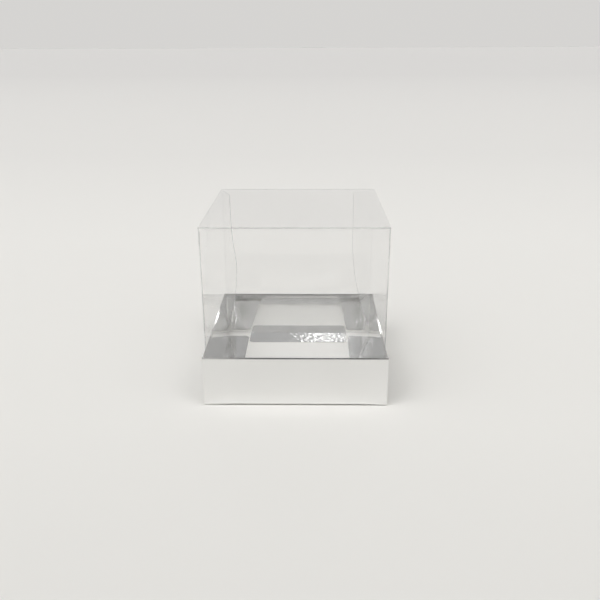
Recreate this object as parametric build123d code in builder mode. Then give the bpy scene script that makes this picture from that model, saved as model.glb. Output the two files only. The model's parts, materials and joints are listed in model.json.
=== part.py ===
from build123d import *
import os
from math import cos, radians, sin

# Clear-topped favor box, in millimetres.
# A low tray of foil board, silver on one face and white on the other, is folded with double roll-over
# walls. A cover of clear film, folded into a cube without a bottom, stands inside the tray walls on the
# tray's floor flanges and lifts straight off. Each node is one panel of a blank, between its creases.
# Frame: origin at the middle of the underside, +Z up, the front of the box faces -Y.

# Overall sizes
box_width = 70.0
box_depth = 70.0
box_height = 70.0
tray_height = 20.0

# Foil board of the tray
card = 0.3
fold_radius = 0.45  # outside radius of a creased fold
tab_slip = 0.05  # room for a corner tab between the two skins of a wall
seam = 0.1  # gap between cut edges that meet at a corner
side_flange_reach = 11.0  # left and right flanges, from wall to free edge
end_flange_reach = 12.5  # front and back flanges, from wall to free edge
flange_corner_gap = 5.5  # side flange's end to the end wall
flange_gap = 0.5  # between neighbouring flanges
flange_corner_clip = 1.5
tab_length = 14.0
tab_clip = 4.0
tab_clearance = 0.3  # below and above a corner tab

# Clear film of the lid
film = 0.25
film_fold_radius = 0.5  # outside radius of a creased fold
lid_clearance = 0.2  # lid to tray wall, on every side
flap_width = 10.0
flap_foot_height = 5.0  # where the curved foot of a flap starts
flap_curve_height = 45.0  # rise of that curve up to the full width
flap_head_gap = 0.5  # flap to top panel
flap_clearance = 0.125  # flap's hinge edge to the panels beside it
left_flap_angle = 52.0  # how far each flap springs off the back panel
right_flap_angle = 28.0

# Sizes that follow from those above
wall = 3 * card + tab_slip
rim_radius = wall / 2
rim_level = tray_height - rim_radius
card_bend = fold_radius - card / 2  # to the middle of the card
tab_turn = wall / 2 - card / 2 + fold_radius  # end wall's face to where a side wall turns into its tab
tab_foot = card + tab_clearance
tab_head = rim_level - tab_clearance
side_panel_length = box_depth - 2 * tab_turn
side_rim_length = box_depth - 2 * (wall + seam)
end_inner_length = box_width - 2 * (wall - card + seam)
side_flange_length = box_depth - 2 * (wall + flange_corner_gap)
end_flange_length = box_width - 2 * (wall + side_flange_reach + flange_gap)
lid_half_x = box_width / 2 - wall - lid_clearance
lid_half_y = box_depth / 2 - wall - lid_clearance
lid_foot = 2 * card
lid_fold_level = box_height - film_fold_radius
film_bend = film_fold_radius - film / 2  # to the middle of the film
fold_start_y = lid_half_y - film_fold_radius
flap_inset = film + film / 2 + flap_clearance  # lid's outside to the crease of a flap
flap_head = box_height - film - flap_head_gap

# Each wall has a plane across it: local X points into the tray and local Y points up.
wall_planes = {
    "front": Plane(origin=(0, -box_depth / 2, 0), x_dir=(0, 1, 0), z_dir=(1, 0, 0)),
    "back": Plane(origin=(0, box_depth / 2, 0), x_dir=(0, -1, 0), z_dir=(-1, 0, 0)),
    "left": Plane(origin=(-box_width / 2, 0, 0), x_dir=(1, 0, 0), z_dir=(0, -1, 0)),
    "right": Plane(origin=(box_width / 2, 0, 0), x_dir=(-1, 0, 0), z_dir=(0, 1, 0)),
}
end_walls = ("front", "back")


def save(piece, name):
    piece.part.label = name
    export_step(piece.part, f"parts/{name}.step")


os.makedirs("parts", exist_ok=True)

# Tray floor, which meets the foot fold of each outer wall
with BuildPart() as tray_floor:
    with BuildSketch():
        Rectangle(box_width - 2 * fold_radius, box_depth - 2 * fold_radius)
    extrude(amount=card)
save(tray_floor, "tray_floor")

# Outer walls: a foot fold up from the floor, the outer skin and the half round that rolls over the rim.
# The side walls turn into their corner tabs before they reach the end walls.
for side, plane in wall_planes.items():
    skin_length = box_width if side in end_walls else side_panel_length
    rim_length = box_width if side in end_walls else side_rim_length
    with BuildPart() as outer_wall:
        with BuildSketch(plane):
            with BuildLine():
                foot = JernArc(start=(fold_radius, card / 2), tangent=(-1, 0), radius=card_bend, arc_size=-90)
                Line(foot @ 1, (card / 2, rim_level))
            trace(line_width=card)
        extrude(amount=skin_length / 2, both=True)
        with BuildSketch(plane):
            with BuildLine():
                JernArc(start=(card / 2, rim_level), tangent=(0, 1), radius=rim_radius - card / 2, arc_size=-180)
            trace(line_width=card)
        extrude(amount=rim_length / 2, both=True)
    save(outer_wall, f"tray_{side}_outer_wall")

# Inner walls, which hang from the rolled rims down to the crease of their flange
for side, plane in wall_planes.items():
    inner_length = end_inner_length if side in end_walls else side_rim_length
    crease_level = card + fold_radius
    with BuildPart() as inner_wall:
        with BuildSketch(plane):
            with Locations((wall - card / 2, (crease_level + rim_level) / 2)):
                Rectangle(card, rim_level - crease_level)
        extrude(amount=inner_length / 2, both=True)
    save(inner_wall, f"tray_{side}_inner_wall")

# Floor flanges, each with the fold that brings it in from the foot of its inner wall
for side, plane in wall_planes.items():
    reach = end_flange_reach if side in end_walls else side_flange_reach
    flange_length = end_flange_length if side in end_walls else side_flange_length
    with BuildPart() as flange:
        with BuildSketch(plane):
            with BuildLine():
                fold = JernArc(
                    start=(wall - card / 2, card + fold_radius), tangent=(0, -1), radius=card_bend, arc_size=90
                )
                Line(fold @ 1, (wall + reach, card + card / 2))
            trace(line_width=card)
        extrude(amount=flange_length / 2, both=True)
        free_corners = flange.faces().sort_by(Axis(plane.origin, plane.x_dir))[-1].edges().filter_by(Axis.Z)
        chamfer(free_corners, length=flange_corner_clip)
    save(flange, f"tray_{side}_floor_flange")

# Corner tabs: the ends of the side walls, turned in between the two skins of the end walls
for end, end_sign in (("front", -1), ("back", 1)):
    for side, side_sign in (("left", -1), ("right", 1)):
        turn_start = (side_sign * (box_width - card) / 2, end_sign * (box_depth / 2 - tab_turn))
        with BuildPart() as corner_tab:
            with BuildSketch(Plane.XY.offset(tab_foot)):
                with BuildLine():
                    turn = JernArc(
                        start=turn_start, tangent=(0, end_sign), radius=card_bend, arc_size=90 * end_sign * side_sign
                    )
                    Line(turn @ 1, turn @ 1 - Vector(side_sign * tab_length, 0))
                trace(line_width=card)
            extrude(amount=tab_head - tab_foot)
            free_end = corner_tab.faces().sort_by(Axis.X)[0 if side_sign > 0 else -1]
            chamfer(free_end.edges().filter_by(Axis.Y), length=tab_clip)
        save(corner_tab, f"tray_{end}_{side}_corner_tab")

# Lid front panel, with the upright folds that turn into the side panels
with BuildPart() as lid_front:
    with BuildSketch(Plane.XY.offset(lid_foot)):
        with BuildLine():
            left_fold = JernArc(
                start=(-(lid_half_x - film / 2), -fold_start_y), tangent=(0, -1), radius=film_bend, arc_size=90
            )
            front_line = Line(left_fold @ 1, (lid_half_x - film_fold_radius, (left_fold @ 1).Y))
            JernArc(start=front_line @ 1, tangent=(1, 0), radius=film_bend, arc_size=90)
        trace(line_width=film)
    extrude(amount=lid_fold_level - lid_foot)
save(lid_front, "lid_front_panel")

# Lid top panel, with the folds that turn down into the front and back panels
with BuildPart() as lid_top:
    with BuildSketch(Plane.YZ):
        with BuildLine():
            front_fold = JernArc(
                start=(-(lid_half_y - film / 2), lid_fold_level), tangent=(0, 1), radius=film_bend, arc_size=-90
            )
            top_line = Line(front_fold @ 1, (fold_start_y, (front_fold @ 1).Y))
            JernArc(start=top_line @ 1, tangent=(1, 0), radius=film_bend, arc_size=-90)
        trace(line_width=film)
    extrude(amount=lid_half_x, both=True)
save(lid_top, "lid_top_panel")

# Lid back panel, which hangs from the top panel's rear fold
with BuildPart() as lid_back:
    with BuildSketch(Plane.XY.offset(lid_foot)):
        with Locations((0, lid_half_y - film / 2)):
            Rectangle(2 * lid_half_x, film)
    extrude(amount=lid_fold_level - lid_foot)
save(lid_back, "lid_back_panel")

# Lid side panels, whose heads touch the underside of the top panel
for side, side_sign in (("left", -1), ("right", 1)):
    with BuildPart() as lid_side:
        with BuildSketch(Plane.XY.offset(lid_foot)):
            with Locations((side_sign * (lid_half_x - film / 2), 0)):
                Rectangle(film, 2 * fold_start_y)
        extrude(amount=box_height - film - lid_foot)
    save(lid_side, f"lid_{side}_panel")

# Back flaps of the side panels: free tongues with a curved foot, sprung off the back panel on their crease
for side, side_sign, spring in (("left", -1, left_flap_angle), ("right", 1, right_flap_angle)):
    crease = (side_sign * (lid_half_x - flap_inset), lid_half_y - flap_inset, 0)
    across = Vector(-side_sign * cos(radians(spring)), -sin(radians(spring)), 0)
    flap_plane = Plane(origin=crease, x_dir=across, z_dir=across.cross(Vector(0, 0, 1)))
    shoulder = (flap_width, flap_foot_height + flap_curve_height)
    with BuildPart() as flap:
        with BuildSketch(flap_plane):
            with BuildLine():
                curve = TangentArc(shoulder, (0, flap_foot_height), tangent=(0, -1))
                Polyline(curve @ 1, (0, flap_head), (flap_width, flap_head), shoulder)
            make_face()
        extrude(amount=film / 2, both=True)
        # half-round hinge edge on the crease
        with BuildSketch(Plane(origin=(crease[0], crease[1], flap_foot_height))):
            Circle(film / 2)
        extrude(amount=flap_head - flap_foot_height)
    save(flap, f"lid_{side}_flap")
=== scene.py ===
import bmesh
import bpy
import json
import math
from mathutils import Matrix, Vector, noise


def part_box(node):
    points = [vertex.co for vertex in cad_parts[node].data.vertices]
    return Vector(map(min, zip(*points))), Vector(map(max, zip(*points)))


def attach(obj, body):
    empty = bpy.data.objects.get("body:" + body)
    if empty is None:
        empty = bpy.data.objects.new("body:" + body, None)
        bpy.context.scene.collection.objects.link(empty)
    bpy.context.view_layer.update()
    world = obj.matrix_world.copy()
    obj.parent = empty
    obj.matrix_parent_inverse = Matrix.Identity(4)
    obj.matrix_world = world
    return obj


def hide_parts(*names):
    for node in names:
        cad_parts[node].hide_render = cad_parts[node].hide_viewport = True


# Clear-topped favor box: a silver foil-board tray and a folded clear film lid, in metres.

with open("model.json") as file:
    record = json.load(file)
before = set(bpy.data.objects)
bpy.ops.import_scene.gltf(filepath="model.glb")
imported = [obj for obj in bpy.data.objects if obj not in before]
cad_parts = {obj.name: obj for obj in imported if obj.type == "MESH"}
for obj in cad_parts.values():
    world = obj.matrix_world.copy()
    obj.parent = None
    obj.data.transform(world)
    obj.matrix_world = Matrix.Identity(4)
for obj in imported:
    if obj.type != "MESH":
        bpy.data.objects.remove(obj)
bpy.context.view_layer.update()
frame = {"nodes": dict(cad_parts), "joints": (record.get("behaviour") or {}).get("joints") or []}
MM = 0.001

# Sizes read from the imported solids

floor_low, floor_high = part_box("tray_floor")
end_low, end_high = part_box("tray_front_outer_wall")
side_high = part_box("tray_left_outer_wall")[1]
end_inner_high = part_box("tray_front_inner_wall")[1]
side_inner_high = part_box("tray_left_inner_wall")[1]
end_flange_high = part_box("tray_front_floor_flange")[1]
side_flange_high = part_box("tray_left_floor_flange")[1]
top_low, top_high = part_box("lid_top_panel")
front_low, front_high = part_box("lid_front_panel")
back_low, back_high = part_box("lid_back_panel")
left_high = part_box("lid_left_panel")[1]

HALF_X = end_high.x
HALF_Y = -end_low.y
TRAY_H = end_high.z
CARD = floor_high.z - floor_low.z
WALL = end_high.y - end_low.y
FOLD = HALF_X - floor_high.x
RIM_LEVEL = TRAY_H - WALL / 2

# Sizes that the boxes of the solids don't tell
FLANGE_CLIP = 1.5 * MM
FLAP_CURVE = 45 * MM
FLAP_WIDTH = 10 * MM
RAISE = 0.40 * MM  # how far the floor stands clear between the corners

FILM = back_high.y - back_low.y
LID_X = top_high.x
LID_Y = top_high.y
LID_FOOT = front_low.z + RAISE
LID_TOP = top_high.z
FILM_FOLD = top_high.z - top_low.z

JOINTS = {joint["name"]: joint for joint in frame["joints"]}

# Material helpers


class Nodes:
    """A material's node tree, with short calls to add and join nodes."""

    def __init__(self, name):
        self.material = bpy.data.materials.new(name)
        self.material.use_nodes = True
        self.tree = self.material.node_tree
        self.tree.nodes.clear()
        self.coords = self.add("ShaderNodeTexCoord").outputs["Object"]

    def add(self, kind, inputs=(), **settings):
        """A new node, whose inputs are values or the outputs of other nodes."""
        node = self.tree.nodes.new(kind)
        for key, value in settings.items():
            setattr(node, key, value)
        for key, value in dict(inputs).items():
            if isinstance(value, bpy.types.NodeSocket):
                self.tree.links.new(value, node.inputs[key])
            else:
                node.inputs[key].default_value = value
        return node

    def noise(self, scale, detail=2.0, roughness=0.5, stretch=None):
        """Noise in the piece's own coordinates, which may be stretched."""
        vector = self.coords
        if stretch:
            vector = self.add("ShaderNodeMapping", {"Vector": vector, "Scale": stretch}).outputs[0]
        inputs = {"Vector": vector, "Scale": scale, "Detail": detail, "Roughness": roughness}
        return self.add("ShaderNodeTexNoise", inputs).outputs[0]

    def spread(self, value, low, high, start=0.3, end=0.7):
        """A value between start and end, brought to between low and high."""
        inputs = {"Value": value, "From Min": start, "From Max": end, "To Min": low, "To Max": high}
        return self.add("ShaderNodeMapRange", inputs).outputs[0]

    def ramp(self, value, low, high):
        """A colour between two, by a value."""
        node = self.add("ShaderNodeValToRGB", {"Fac": value})
        node.color_ramp.elements[0].color = (*low, 1)
        node.color_ramp.elements[1].color = (*high, 1)
        return node.outputs[0]

    def bump(self, height, distance, under=None):
        """The normal of a rough surface, on top of the one under it."""
        inputs = {"Height": height, "Distance": distance, "Strength": 1.0}
        if under:
            inputs["Normal"] = under
        return self.add("ShaderNodeBump", inputs).outputs[0]

    def math(self, operation, first, second):
        return self.add("ShaderNodeMath", {0: first, 1: second}, operation=operation).outputs[0]

    def finish(self, shader):
        """The material, with this shader on its surface."""
        self.add("ShaderNodeOutputMaterial", {"Surface": shader.outputs[0]})
        return self.material


FOIL_TONES = ((0.865, 0.865, 0.86), (0.905, 0.905, 0.90))
# Painted shade: the rim foil is coloured darker than the rest of the foil to give the dark line along the
# rims
RIM_SHADE_TONES = ((0.50, 0.49, 0.48), (0.62, 0.61, 0.60))
FOIL_HAZE = 0.06  # share of the foil that scatters
HAZE_ROUGHNESS = (0.5, 0.6)


def foil(n, normal, low, high, tones=FOIL_TONES):
    """Metallized foil: most of it mirrors sharply and a share of it scatters."""
    colour = n.ramp(n.noise(90, 3.0), *tones)
    patches = n.noise(180, 4.0)
    metal = {"Base Color": colour, "Metallic": 1.0, "Normal": normal}
    sharp = {**metal, "Roughness": n.spread(patches, low, high)}
    hazy = {**metal, "Roughness": n.spread(patches, *HAZE_ROUGHNESS)}
    mirror = n.add("ShaderNodeBsdfPrincipled", sharp).outputs[0]
    scatter = n.add("ShaderNodeBsdfPrincipled", hazy).outputs[0]
    return n.finish(n.add("ShaderNodeMixShader", {0: FOIL_HAZE, 1: mirror, 2: scatter}))


def silver_foil():
    """Mirror foil laminated on board: slow waves from the board, a fine grain and faint rubbed patches."""
    n = Nodes("silver_foil")
    waves = n.bump(n.noise(55, 1.0), 0.08 * MM)
    grain = n.bump(n.noise(1400, 3.0), 0.003 * MM, waves)
    return foil(n, grain, 0.04, 0.10)


def shaded_rim_foil():
    """The foil round the rims, which the fold has drawn smooth, with its colour painted darker as the shade
    along the rims.
    """
    n = Nodes("shaded_rim_foil")
    grain = n.bump(n.noise(1400, 3.0), 0.0008 * MM)
    return foil(n, grain, 0.02, 0.05, RIM_SHADE_TONES)


CELL_DRIFT = 2.0 * MM  # how far the crinkles are pulled out of their even cells


def crinkled_foil():
    """The foil of the end flanges, which is crinkled into small uneven facets by the folding."""
    n = Nodes("crinkled_foil")
    drift = n.add("ShaderNodeTexNoise", {"Vector": n.coords, "Scale": 300.0, "Detail": 2.0})
    amount = {0: drift.outputs["Color"], 1: (CELL_DRIFT, CELL_DRIFT, CELL_DRIFT)}
    shifted = n.add("ShaderNodeVectorMath", amount, operation="MULTIPLY")
    place = n.add("ShaderNodeVectorMath", {0: n.coords, 1: shifted.outputs[0]}, operation="ADD").outputs[0]
    cells = n.add("ShaderNodeTexVoronoi", {"Vector": place, "Scale": 480.0}).outputs["Distance"]
    creases = n.bump(cells, 0.08 * MM)
    dents = n.bump(n.noise(300, 2.0), 0.05 * MM, creases)
    return foil(n, dents, 0.06, 0.16)


def white_board():
    """The bare reverse of the board: warm white, with a soft cloud of fibres."""
    n = Nodes("bare_board")
    fibres = n.noise(2600, 4.0, 0.6, (1.0, 0.35, 1.0))
    colour = n.ramp(n.noise(320, 5.0), (0.83, 0.82, 0.79), (0.89, 0.88, 0.85))
    inputs = {
        "Base Color": colour,
        "Roughness": n.spread(fibres, 0.55, 0.75),
        "Normal": n.bump(fibres, 0.006 * MM),
    }
    return n.finish(n.add("ShaderNodeBsdfPrincipled", inputs))


def card_edge():
    """Cut edge of the board: its pale core, with fibres of uneven tone."""
    n = Nodes("card_edge")
    fibres = n.noise(3000, 2.0)
    inputs = {
        "Base Color": n.ramp(fibres, (0.60, 0.59, 0.57), (0.78, 0.77, 0.74)),
        "Roughness": n.spread(fibres, 0.70, 0.90),
        "Normal": n.bump(fibres, 0.008 * MM),
    }
    return n.finish(n.add("ShaderNodeBsdfPrincipled", inputs))


def facing_share(n, least, most, power):
    """How much a film mirrors: little where it is seen head on and most where it is seen along its face."""
    facing = n.add("ShaderNodeLayerWeight", {"Blend": 0.5}).outputs["Facing"]
    return n.math("ADD", n.math("MULTIPLY", n.math("POWER", facing, power), most - least), least)


FILM_TINT = (0.99, 0.99, 0.99, 1)
LEAST_MIRROR, MOST_MIRROR, MIRROR_POWER = 0.035, 0.33, 3.0
RUBBED_LEVEL, CLEAR_LEVEL = 18 * MM, 30 * MM
RUBBED_HAZE = 0.25


def clear_film(name, rubbed):
    """Clear film: see-through head on, mirroring along its face, with faint waves and handling haze. The
    foot can be rubbed by tucking it in, and then mirrors more, in a hazy way."""
    n = Nodes(name)
    waves = n.bump(n.noise(38, 1.0), 0.12 * MM)
    haze = n.spread(n.noise(130, 4.0), 0.015, 0.07)
    share = facing_share(n, LEAST_MIRROR, MOST_MIRROR, MIRROR_POWER)
    if rubbed:
        height = n.add("ShaderNodeSeparateXYZ", {0: n.coords}).outputs["Z"]
        worn = n.spread(height, 1.0, 0.0, RUBBED_LEVEL, CLEAR_LEVEL)
        haze = n.math("ADD", haze, n.math("MULTIPLY", worn, RUBBED_HAZE))
        share = n.math("ADD", share, n.math("MULTIPLY", worn, rubbed))
    through = n.add("ShaderNodeBsdfTransparent", {"Color": FILM_TINT})
    gloss = n.add("ShaderNodeBsdfGlossy", {"Color": (1, 1, 1, 1), "Roughness": haze, "Normal": waves})
    return n.finish(n.add("ShaderNodeMixShader", {0: share, 1: through.outputs[0], 2: gloss.outputs[0]}))


def shaded_film_line(name, low, high, least, most):
    """A crease or a cut edge of the film, painted grey as shade: it stands for the light that the bent or
    cut film catches less of from behind than the open panel.
    """
    n = Nodes(name)
    flecks = n.noise(900, 3.0)
    through = n.add("ShaderNodeBsdfTransparent", {"Color": (0.97, 0.97, 0.97, 1)})
    inputs = {
        "Base Color": n.ramp(flecks, low, high),
        "Roughness": n.spread(flecks, 0.20, 0.32),
        "Normal": n.bump(flecks, 0.004 * MM),
    }
    body = n.add("ShaderNodeBsdfPrincipled", inputs)
    share = n.spread(n.noise(140, 3.0), least, most)
    return n.finish(n.add("ShaderNodeMixShader", {0: share, 1: through.outputs[0], 2: body.outputs[0]}))


FOIL = silver_foil()
SHADED_RIM = shaded_rim_foil()
CRINKLED = crinkled_foil()
BOARD = white_board()
CARD_EDGE = card_edge()
CLEAR = clear_film("open_film", 0.0)
BENT = clear_film("bent_film", 0.32)
# Painted shade: grey lines along the creases and cut edges of the film, darkest at the front creases and the
# flaps' free edges, faint at the other cut edges
CREASE = shaded_film_line("film_crease", (0.28, 0.28, 0.28), (0.50, 0.50, 0.50), 0.12, 0.34)
SOFT_CREASE = shaded_film_line("film_soft_crease", (0.45, 0.45, 0.45), (0.60, 0.60, 0.60), 0.02, 0.08)
CUT = shaded_film_line("film_cut_edge", (0.65, 0.65, 0.66), (0.80, 0.80, 0.81), 0.01, 0.04)
FLAP_EDGE = shaded_film_line("flap_cut_edge", (0.40, 0.40, 0.41), (0.60, 0.60, 0.61), 0.30, 0.60)

# Sheet building


def arc(centre, radius, start, sweep, steps):
    """Points of an arc in a section, each with the direction to its left as it is travelled."""
    points = []
    side = -1 if sweep > 0 else 1
    for k in range(steps + 1):
        angle = math.radians(start + sweep * k / steps)
        out = Vector((math.cos(angle), math.sin(angle)))
        points.append((centre + out * radius, out * side))
    return points


def straight(start, end, steps):
    """Points of a straight run in a section, each with the direction to its left."""
    along = (end - start).normalized()
    left = Vector((-along.y, along.x))
    return [(start.lerp(end, k / steps), left.copy()) for k in range(steps + 1)]


def chain(*runs):
    """Runs joined end to end, without the doubled points between them."""
    points = list(runs[0])
    for run in runs[1:]:
        points += run[1:]
    return points


def add_sheet(mesh, rows, thickness, kinds, first_edge=None):
    """Adds a sheet of some thickness to mesh. rows is a grid of (point, normal) on its middle, and kinds
    gives each strip between two rows its material numbers for the normal's side and for the other side.
    The last of kinds is the number for the cut edges. first_edge is another number for the edge where
    the rows start."""
    skins = []
    for sign in (1, -1):
        skins.append([[mesh.verts.new(p + d * (sign * thickness / 2)) for p, d in row] for row in rows])
    upper, lower = skins
    last_row = len(rows) - 1
    last_column = len(rows[0]) - 1

    def face(corners, kind):
        made = mesh.faces.new(corners)
        made.material_index = kind
        made.smooth = True

    for i in range(last_row):
        for j in range(last_column):
            face((upper[i][j], upper[i][j + 1], upper[i + 1][j + 1], upper[i + 1][j]), kinds[i][0])
            face((lower[i][j], lower[i + 1][j], lower[i + 1][j + 1], lower[i][j + 1]), kinds[i][1])
        for j, edge in ((0, first_edge or kinds[-1]), (last_column, kinds[-1])):
            face((upper[i][j], upper[i + 1][j], lower[i + 1][j], lower[i][j]), edge)
    for j in range(last_column):
        for i in (0, last_row):
            face((upper[i][j], lower[i][j], lower[i][j + 1], upper[i][j + 1]), kinds[-1])


SHARP_ANGLE = 40


def make_piece(name, mesh, materials, body, nodes):
    """Turns a built mesh into a piece that rides on a body and stands for CAD nodes."""
    bmesh.ops.recalc_face_normals(mesh, faces=mesh.faces)
    data = bpy.data.meshes.new(name)
    mesh.to_mesh(data)
    mesh.free()
    for material in materials:
        data.materials.append(material)
    data.set_sharp_from_angle(angle=math.radians(SHARP_ANGLE))
    piece = bpy.data.objects.new(name, data)
    bpy.context.scene.collection.objects.link(piece)
    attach(piece, body)
    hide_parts(*nodes)
    return piece


CORNER_POWER = 8  # how tightly the feet keep to the corners


def raised(x, y):
    """The made-up tray stands on its corners, with the floor and the wall feet between them just clear."""
    return RAISE * (1 - min(1.0, abs(x * y) / (HALF_X * HALF_Y)) ** CORNER_POWER)


def swell(t):
    """0 at both ends of -1 to 1 and 1 in the middle."""
    return math.cos(t * math.pi / 2)


# Tray

TRAY_SHEET = (FOIL, BOARD, CARD_EDGE, CRINKLED, SHADED_RIM)
FOIL_SIDE, BOARD_SIDE, EDGE_SIDE, CRINKLED_SIDE, SHADED_RIM_SIDE = 0, 1, 2, 3, 4
WALL_COLUMNS = 60
FOLD_STEPS, SKIN_STEPS, RIM_STEPS, FLANGE_STEPS, CLIP_STEPS = 5, 14, 12, 8, 3
FLOOR_STEPS = 24
WARP = 0.10 * MM
WARP_SCALE = 60
RIM_DIP = 0.12 * MM
DIP_SCALE = 12
LEAN = 1.12 * MM
LEAN_FADE = 4.0 * MM

# Middle of each wall's foot, the way into the tray and the way along the wall
WALL_FRAMES = {
    "front": (Vector((0, -HALF_Y, 0)), Vector((0, 1, 0)), Vector((1, 0, 0))),
    "back": (Vector((0, HALF_Y, 0)), Vector((0, -1, 0)), Vector((1, 0, 0))),
    "left": (Vector((-HALF_X, 0, 0)), Vector((1, 0, 0)), Vector((0, 1, 0))),
    "right": (Vector((HALF_X, 0, 0)), Vector((-1, 0, 0)), Vector((0, 1, 0))),
}


def lean(height, reach):
    """How far an inner wall stands in from the upright at a height, fading out at the corners, where
    reach is the distance to the end of the wall."""
    share = min(max((RIM_LEVEL - height) / (RIM_LEVEL - CARD - FOLD), 0.0), 1.0)
    fade = min(max(reach / LEAN_FADE, 0.0), 1.0)
    return LEAN * share * fade * fade * (3 - 2 * fade)


def wall_grid(side, section, half_lengths, warp):
    """A grid of points along a wall from its section, where warp moves each point off the flat panel."""
    origin, inward, along = WALL_FRAMES[side]
    up = Vector((0, 0, 1))
    rows = []
    for (place, left), half in zip(section, half_lengths):
        row = []
        for k in range(WALL_COLUMNS + 1):
            t = 2 * k / WALL_COLUMNS - 1
            point = origin + inward * place.x + up * place.y + along * (t * half)
            normal = inward * left.x + up * left.y
            reach = HALF_X - WALL - abs(t * half)
            row.append((point + warp(point, place, t, inward, up, reach), normal))
        rows.append(row)
    return rows


def wall_warp(point, place, t, inward, up, reach):
    """The inner skin leans in at its foot, and the outer one and the rim run slightly uneven."""
    if place.x > WALL / 2 and place.y < RIM_LEVEL:
        return inward * lean(place.y, reach)
    height = place.y / RIM_LEVEL
    foot = raised(point.x, point.y) * max(0.0, 1 - place.y / (0.5 * RIM_LEVEL))
    belly = swell(t) * math.sin(math.pi * min(max(height, 0), 1))
    uneven = 0.5 + 0.5 * noise.noise(point * WARP_SCALE)
    dip = swell(t) * max(0.0, height) ** 2 * (0.6 + 0.4 * noise.noise(point * DIP_SCALE))
    return inward * (WARP * belly * uneven) + up * (foot - RIM_DIP * dip)


def flange_warp(tip):
    """Moves a flange's fold in with the foot of its leaning wall and leaves its free edge in place."""

    def warp(point, place, t, inward, up, reach):
        share = min(max((tip - place.x) / (tip - WALL), 0.0), 1.0)
        return inward * (lean(0.0, reach) * share) + up * raised(point.x, point.y)

    return warp


def make_wall(side):
    """A double wall: foot fold, outer skin, rolled rim and inner skin in one sheet, and its floor flange."""
    is_end = side in ("front", "back")
    skin_half = end_high.x if is_end else side_high.y
    inner_half = end_inner_high.x if is_end else side_inner_high.y
    flange_half = end_flange_high.x if is_end else side_flange_high.y
    flange_tip = (end_flange_high.y + HALF_Y) if is_end else (side_flange_high.x + HALF_X)
    rim_half = skin_half if is_end else inner_half
    middle = CARD / 2
    bend = FOLD - middle
    inner_u = WALL - middle
    mesh = bmesh.new()

    foot = arc(Vector((FOLD, FOLD)), bend, -90, -90, FOLD_STEPS)
    outer = straight(Vector((middle, FOLD)), Vector((middle, RIM_LEVEL)), SKIN_STEPS)
    rim = arc(Vector((WALL / 2, RIM_LEVEL)), WALL / 2 - middle, 180, -180, RIM_STEPS)
    inner = straight(Vector((inner_u, RIM_LEVEL)), Vector((inner_u, CARD + FOLD)), SKIN_STEPS)
    section = chain(foot, outer, rim, inner)
    rim_start = FOLD_STEPS + SKIN_STEPS
    halves = [skin_half] * rim_start
    halves += [rim_half] * len(rim)
    halves += [inner_half] * (len(section) - len(halves))
    kinds = [(FOIL_SIDE, BOARD_SIDE)] * (len(section) - 1) + [EDGE_SIDE]
    for strip in range(rim_start, rim_start + RIM_STEPS):
        kinds[strip] = (SHADED_RIM_SIDE, BOARD_SIDE)
    add_sheet(mesh, wall_grid(side, section, halves, wall_warp), CARD, kinds)

    turn = arc(Vector((inner_u + bend, CARD + FOLD)), bend, 180, 90, FOLD_STEPS)
    lie = straight(turn[-1][0], Vector((flange_tip - FLANGE_CLIP, CARD + middle)), FLANGE_STEPS)
    clip = straight(lie[-1][0], Vector((flange_tip, CARD + middle)), CLIP_STEPS)
    section = chain(turn, lie, clip)
    halves = [flange_half - max(0.0, place.x - (flange_tip - FLANGE_CLIP)) for place, left in section]
    flange_face = CRINKLED_SIDE if is_end else FOIL_SIDE
    kinds = [(flange_face, BOARD_SIDE)] * (len(section) - 1) + [EDGE_SIDE]
    add_sheet(mesh, wall_grid(side, section, halves, flange_warp(flange_tip)), CARD, kinds)

    nodes = [f"tray_{side}_{part}" for part in ("outer_wall", "inner_wall", "floor_flange")]
    return make_piece(f"tray_{side}_wall", mesh, TRAY_SHEET, "tray", nodes)


def make_floor():
    """Floor panel, white side up and foil side down."""
    mesh = bmesh.new()
    level = (floor_low.z + floor_high.z) / 2
    rows = []
    for i in range(FLOOR_STEPS + 1):
        y = floor_low.y + (floor_high.y - floor_low.y) * i / FLOOR_STEPS
        row = []
        for j in range(FLOOR_STEPS + 1):
            x = floor_low.x + (floor_high.x - floor_low.x) * j / FLOOR_STEPS
            row.append((Vector((x, y, level + raised(x, y))), Vector((0, 0, 1))))
        rows.append(row)
    kinds = [(BOARD_SIDE, FOIL_SIDE)] * FLOOR_STEPS + [EDGE_SIDE]
    add_sheet(mesh, rows, CARD, kinds)
    return make_piece("tray_floor_panel", mesh, TRAY_SHEET, "tray", ["tray_floor"])


for wall_side in WALL_FRAMES:
    make_wall(wall_side)
make_floor()

# The corner tabs, hidden between the two skins, keep their plain solids
for node_name, node in frame["nodes"].items():
    if node_name.endswith("corner_tab"):
        node.data.materials[0] = FOIL

# Lid

LID_SHEET = (CLEAR, CREASE, CUT, SOFT_CREASE, FLAP_EDGE, BENT)
OPEN_FILM, CREASED_FILM, CUT_FILM, SOFT_FILM, FLAP_CUT, BENT_FILM = 0, 1, 2, 3, 4, 5
LID_COLUMNS = 48
PANEL_STEPS, BACK_STEPS, CREASE_STEPS = 24, 30, 6
BULGE = 0.45 * MM
SAG = 0.35 * MM


def film_kinds(section, creases):
    """Material numbers for the strips of a film section, where creases lists its folded stretches."""
    kinds = [(OPEN_FILM, OPEN_FILM)] * (len(section) - 1)
    for start, end, kind in creases:
        kinds[start:end] = [(kind, kind)] * (end - start)
    return kinds + [CUT_FILM]


def panel_swell(step):
    """0 at both edges of a lid panel and 1 in its middle, where step counts strips from its first edge."""
    return swell(2 * step / PANEL_STEPS - 1)


def above_rim(z):
    """0 inside the tray, rising to 1 in the middle of the lid's free height and back to 0 at its top."""
    share = (z - TRAY_H) / (LID_TOP - TRAY_H)
    return math.sin(math.pi * min(max(share, 0.0), 1.0))


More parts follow.
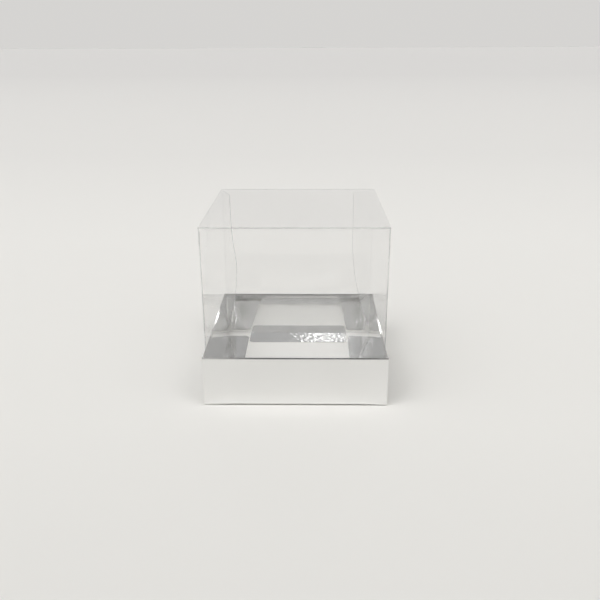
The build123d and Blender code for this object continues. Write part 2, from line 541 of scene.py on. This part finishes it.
def make_wrap():
    """Left, front and right panels: one strip with two upright creases."""
    middle = FILM / 2
    bend = FILM_FOLD - middle
    x, y = LID_X - middle, LID_Y - middle
    turn_x, turn_y = LID_X - FILM_FOLD, LID_Y - FILM_FOLD
    left = straight(Vector((-x, left_high.y)), Vector((-x, -turn_y)), PANEL_STEPS)
    first = arc(Vector((-turn_x, -turn_y)), bend, 180, 90, CREASE_STEPS)
    front = straight(Vector((-turn_x, -y)), Vector((turn_x, -y)), PANEL_STEPS)
    second = arc(Vector((turn_x, -turn_y)), bend, 270, 90, CREASE_STEPS)
    right = straight(Vector((x, -turn_y)), Vector((x, left_high.y)), PANEL_STEPS)
    section = chain(left, first, front, second, right)
    left_end = PANEL_STEPS
    front_start = left_end + CREASE_STEPS
    front_end = front_start + PANEL_STEPS
    right_start = front_end + CREASE_STEPS
    folds = [(left_end, front_start, CREASED_FILM), (front_end, right_start, CREASED_FILM)]
    rows = []
    for i, (place, inside) in enumerate(section):
        on_side = i < left_end or i > right_start
        head = left_high.z if on_side else front_high.z
        out = Vector((-inside.x, -inside.y, 0))
        if i < left_end:
            share = panel_swell(i)
        elif i > right_start:
            share = panel_swell(i - right_start)
        elif front_start < i < front_end:
            share = panel_swell(i - front_start)
        else:
            share = 0.0
        row = []
        for k in range(LID_COLUMNS + 1):
            z = LID_FOOT + (head - LID_FOOT) * k / LID_COLUMNS
            reach = LID_X - (abs(place.y) if abs(out.x) > 0.5 else abs(place.x))
            point = Vector((place.x, place.y, z)) + out * (BULGE * share * above_rim(z) - lean(z, reach))
            row.append((point, out))
        rows.append(row)
    mesh = bmesh.new()
    add_sheet(mesh, rows, FILM, film_kinds(section, folds))
    nodes = ["lid_left_panel", "lid_front_panel", "lid_right_panel"]
    return make_piece("lid_wrap", mesh, LID_SHEET, "lid", nodes)


def make_top():
    """Top and back panels: one strip that folds up out of the front panel and down behind."""
    middle = FILM / 2
    bend = FILM_FOLD - middle
    y, z = LID_Y - middle, LID_TOP - middle
    turn_y, turn_z = LID_Y - FILM_FOLD, LID_TOP - FILM_FOLD
    first = arc(Vector((-turn_y, turn_z)), bend, 180, -90, CREASE_STEPS)
    top = straight(Vector((-turn_y, z)), Vector((turn_y, z)), PANEL_STEPS)
    second = arc(Vector((turn_y, turn_z)), bend, 90, -90, CREASE_STEPS)
    back = straight(Vector((y, turn_z)), Vector((y, LID_FOOT)), BACK_STEPS)
    section = chain(first, top, second, back)
    top_start = CREASE_STEPS
    top_end = top_start + PANEL_STEPS
    back_start = top_end + CREASE_STEPS
    folds = [(0, top_start, CREASED_FILM), (top_end, back_start, SOFT_FILM)]
    rows = []
    for i, (place, out) in enumerate(section):
        normal = Vector((0, out.x, out.y))
        row = []
        for k in range(LID_COLUMNS + 1):
            t = 2 * k / LID_COLUMNS - 1
            point = Vector((LID_X * t, place.x, place.y))
            if top_start < i < top_end:
                point.z -= SAG * swell(t) * panel_swell(i - top_start)
            elif i > back_start:
                point.y += BULGE * swell(t) * above_rim(place.y) - lean(place.y, LID_X * (1 - abs(t)))
            row.append((point, normal))
        rows.append(row)
    mesh = bmesh.new()
    add_sheet(mesh, rows, FILM, film_kinds(section, folds))
    nodes = ["lid_top_panel", "lid_back_panel"]
    return make_piece("lid_top_and_back", mesh, LID_SHEET, "lid", nodes)


# Degrees of each flap off the back panel, and how far its head opens and its foot closes from there
FLAP_ANGLE = {"left": 52.0, "right": 28.0}
HEAD_TWIST = {"left": 14.0, "right": 0.0}
FOOT_TWIST = {"left": 7.0, "right": 0.0}
TWIST_LEVEL = 38 * MM
TWIST_SPAN = 12 * MM
TIP_WIDTH = 0.15 * MM
FLAP_ROWS, FLAP_COLUMNS = 60, 10


def flap_width(rise):
    """Width of a flap at a height above its foot, which is a long curve up to the full width."""
    radius = (FLAP_WIDTH ** 2 + FLAP_CURVE ** 2) / (2 * FLAP_WIDTH)
    below = max(0.0, FLAP_CURVE - rise)
    curve = FLAP_WIDTH - radius + math.sqrt(radius ** 2 - below ** 2)
    return max(curve, TIP_WIDTH)


def make_flap(side):
    """A free tongue with a curved foot. The left one is twisted, more open at its head than at its foot."""
    sign = -1 if side == "left" else 1
    joint = JOINTS[f"{side}_flap_crease"]
    crease = Vector((joint["pos_m"][0], joint["pos_m"][1], 0))
    low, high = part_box(f"lid_{side}_flap")
    foot, head = low.z, high.z
    rows = []
    for i in range(FLAP_ROWS + 1):
        z = foot + (head - foot) * i / FLAP_ROWS
        width = flap_width(z - foot)
        twist = HEAD_TWIST[side] if z > TWIST_LEVEL else FOOT_TWIST[side]
        angle = math.radians(FLAP_ANGLE[side] + twist * math.tanh((z - TWIST_LEVEL) / TWIST_SPAN))
        across = Vector((-sign * math.cos(angle), -math.sin(angle), 0))
        normal = Vector((-across.y, across.x, 0))
        row = []
        for k in range(FLAP_COLUMNS + 1):
            row.append((crease + across * (width * k / FLAP_COLUMNS) + Vector((0, 0, z)), normal))
        rows.append(row)
    mesh = bmesh.new()
    kinds = [(BENT_FILM, BENT_FILM)] * FLAP_ROWS + [FLAP_CUT]
    add_sheet(mesh, rows, FILM, kinds, CUT_FILM)
    nodes = [f"lid_{side}_flap"]
    return make_piece(f"lid_{side}_back_flap", mesh, LID_SHEET, f"{side}_flap", nodes)


make_wrap()
make_top()
for flap_side in ("left", "right"):
    make_flap(flap_side)

# Stage, light and camera

FLOOR_REACH = 40.0
FLOOR_ROUGHNESS, FLOOR_SHEEN = 0.9, 0.1

# Tone of the floor by its place along Y, in metres: painted light and shade, lightest near the box and
# darker towards the viewer and far away
FLOOR_SHADE_TONES = (
    (-0.20, (0.720, 0.710, 0.685)),
    (-0.05, (0.788, 0.778, 0.748)),
    (0.20, (0.800, 0.790, 0.762)),
    (0.60, (0.750, 0.740, 0.718)),
    (3.00, (0.685, 0.675, 0.661)),
)

# Tones of the room, and where along Y or Z one gives way to the next
ROOM_BEHIND = (0.67, 0.66, 0.645)
ROOM_IN_FRONT = (0.41, 0.405, 0.395)
ROOM_ABOVE = (0.04, 0.04, 0.04)
FRONT_TO_BACK = (-0.55, 0.25)
HORIZON = (0.02, 0.25)
CEILING = (0.50, 0.80)

# Lights of the room. A window has a direction, how near to it the light starts and is full, and a level.
CEILING_LEFT = 4.4
CEILING_RIGHT = 3.4
LEFT_WINDOW = 0.7
LEFT_FRONT_WINDOW = 0.8
FRONT_WALL = 0.45
BACK_WINDOW = 0.65
WINDOWS = (
    ((-0.88, -0.10, 0.46), 0.88, 0.96, LEFT_WINDOW),
    ((-0.60, -0.62, 0.50), 0.88, 0.96, LEFT_FRONT_WINDOW),
    ((-0.44, -0.30, 0.85), 0.92, 0.975, CEILING_LEFT),
    ((0.44, -0.30, 0.85), 0.92, 0.975, CEILING_RIGHT),
    ((0.00, -0.84, 0.54), 0.965, 0.99, FRONT_WALL),
    ((0.00, 0.731, 0.682), 0.90, 0.96, BACK_WINDOW),
)

# A narrow lit strip behind the box, by its place along Y and its reach in Z
BACK_STRIP = 20.0
STRIP_PLACE, STRIP_HALF = 0.9158, 0.0028
STRIP_FOOT, STRIP_HEAD = (0.15, 0.20), (0.31, 0.35)

FRONT_LAMP = 0.45
LAMP_PLACE, LAMP_AIM, LAMP_SIZE = (0.10, -3.0, 1.82), (0.014, 0.03, 0.0), (0.16, 0.26)


def make_stage():
    """A wide pale floor that runs out of sight, with painted shade in its colour: darker towards the viewer
    and with distance.
    """
    mesh = bmesh.new()
    corners = [(-1, -1), (1, -1), (1, 1), (-1, 1)]
    mesh.faces.new([mesh.verts.new((x * FLOOR_REACH, y * FLOOR_REACH, 0)) for x, y in corners])
    data = bpy.data.meshes.new("stage_floor")
    mesh.to_mesh(data)
    mesh.free()
    n = Nodes("stage_white")
    nearest, farthest = FLOOR_SHADE_TONES[0][0], FLOOR_SHADE_TONES[-1][0]
    depth = n.add("ShaderNodeSeparateXYZ", {0: n.coords}).outputs["Y"]
    ramp = n.add("ShaderNodeValToRGB", {"Fac": n.spread(depth, 0.0, 1.0, nearest, farthest)})
    stops = ramp.color_ramp.elements
    while len(stops) < len(FLOOR_SHADE_TONES):
        stops.new(1.0)
    for stop, (place, tone) in zip(stops, FLOOR_SHADE_TONES):
        stop.position = (place - nearest) / (farthest - nearest)
        stop.color = (*tone, 1)
    inputs = {
        "Base Color": ramp.outputs[0],
        "Roughness": FLOOR_ROUGHNESS,
        "Specular IOR Level": FLOOR_SHEEN,
    }
    data.materials.append(n.finish(n.add("ShaderNodeBsdfPrincipled", inputs)))
    floor = bpy.data.objects.new("stage_floor", data)
    bpy.context.scene.collection.objects.link(floor)


def make_world():
    """A pale room with lights above, dimmer towards the viewer. The camera itself sees a plain backdrop."""
    world = bpy.data.worlds.new("pale_room")
    world.use_nodes = True
    tree = world.node_tree
    tree.nodes.clear()
    direction = tree.nodes.new("ShaderNodeTexCoord").outputs["Generated"]
    split = tree.nodes.new("ShaderNodeSeparateXYZ")
    tree.links.new(direction, split.inputs[0])

    def blend(share, start, end, first, second):
        """The first colour where share is below start, the second where it is past end."""
        place = tree.nodes.new("ShaderNodeMapRange")
        place.interpolation_type = "SMOOTHSTEP"
        place.inputs["From Min"].default_value = start
        place.inputs["From Max"].default_value = end
        tree.links.new(share, place.inputs["Value"])
        mix = tree.nodes.new("ShaderNodeMix")
        mix.data_type = "RGBA"
        tree.links.new(place.outputs[0], mix.inputs["Factor"])
        for socket, colour in ((mix.inputs[6], first), (mix.inputs[7], second)):
            if isinstance(colour, tuple):
                socket.default_value = (*colour, 1)
            else:
                tree.links.new(colour, socket)
        return mix.outputs[2]

    def closeness(place):
        """How near the looked-along direction is to a place: 1 when it points there."""
        near = tree.nodes.new("ShaderNodeVectorMath")
        near.operation = "DOT_PRODUCT"
        tree.links.new(direction, near.inputs[0])
        near.inputs[1].default_value = place
        return near.outputs["Value"]

    around = blend(split.outputs["Y"], *FRONT_TO_BACK, ROOM_IN_FRONT, ROOM_BEHIND)
    around = blend(split.outputs["Z"], *HORIZON, ROOM_BEHIND, around)
    on_strip = tree.nodes.new("ShaderNodeMath")
    on_strip.operation = "COMPARE"
    on_strip.inputs[1].default_value = STRIP_PLACE
    on_strip.inputs[2].default_value = STRIP_HALF
    tree.links.new(split.outputs["Y"], on_strip.inputs[0])
    lit = blend(on_strip.outputs[0], 0.0, 1.0, around, (BACK_STRIP, BACK_STRIP, BACK_STRIP))
    lit = blend(split.outputs["Z"], *STRIP_HEAD, lit, around)
    around = blend(split.outputs["Z"], *STRIP_FOOT, around, lit)
    room = blend(split.outputs["Z"], *CEILING, around, ROOM_ABOVE)
    for place, edge, full, light in WINDOWS:
        room = blend(closeness(Vector(place).normalized()), edge, full, room, (light, light, light))
    seen = tree.nodes.new("ShaderNodeLightPath").outputs["Is Camera Ray"]
    room = blend(seen, 0.0, 1.0, room, ROOM_BEHIND)
    background = tree.nodes.new("ShaderNodeBackground")
    tree.links.new(room, background.inputs["Color"])
    output = tree.nodes.new("ShaderNodeOutputWorld")
    tree.links.new(background.outputs[0], output.inputs["Surface"])
    bpy.context.scene.world = world


def make_lamp(name, place, aim, size, watts):
    """An area lamp that faces a point."""
    data = bpy.data.lights.new(name, "AREA")
    data.energy = watts
    data.shape = "RECTANGLE"
    data.size, data.size_y = size
    lamp = bpy.data.objects.new(name, data)
    lamp.location = place
    lamp.rotation_euler = (Vector(aim) - Vector(place)).to_track_quat("-Z", "Y").to_euler()
    bpy.context.scene.collection.objects.link(lamp)


CAMERA_PLACE = (5.6 * MM, -261.0 * MM, 129.4 * MM)
CAMERA_PITCH, CAMERA_YAW, CAMERA_ROLL = 20.84, -0.93, -0.23
FOCAL_PIXELS, IMAGE_PIXELS, SENSOR_MM = 669.0, 600, 36.0
CLIP_START = 10 * MM


def make_camera():
    """A camera at the viewing angle of the photo."""
    data = bpy.data.cameras.new("photo_camera")
    data.sensor_width = SENSOR_MM
    data.lens = FOCAL_PIXELS / IMAGE_PIXELS * SENSOR_MM
    data.clip_start = CLIP_START
    camera = bpy.data.objects.new("photo_camera", data)
    turn = Matrix.Rotation(math.radians(-CAMERA_YAW), 4, "Z")
    tilt = Matrix.Rotation(math.radians(90 - CAMERA_PITCH), 4, "X")
    roll = Matrix.Rotation(math.radians(CAMERA_ROLL), 4, "Z")
    camera.matrix_world = Matrix.Translation(CAMERA_PLACE) @ turn @ tilt @ roll
    bpy.context.scene.collection.objects.link(camera)
    bpy.context.scene.camera = camera


make_stage()
make_world()
make_lamp("front_light", LAMP_PLACE, LAMP_AIM, LAMP_SIZE, FRONT_LAMP)
make_camera()
bpy.context.scene.view_settings.view_transform = "Standard"

# Enough bounces for foil that mirrors foil through several layers of film
light_paths = bpy.context.scene.cycles
light_paths.max_bounces = 24
light_paths.glossy_bounces = 16
light_paths.transparent_max_bounces = 48
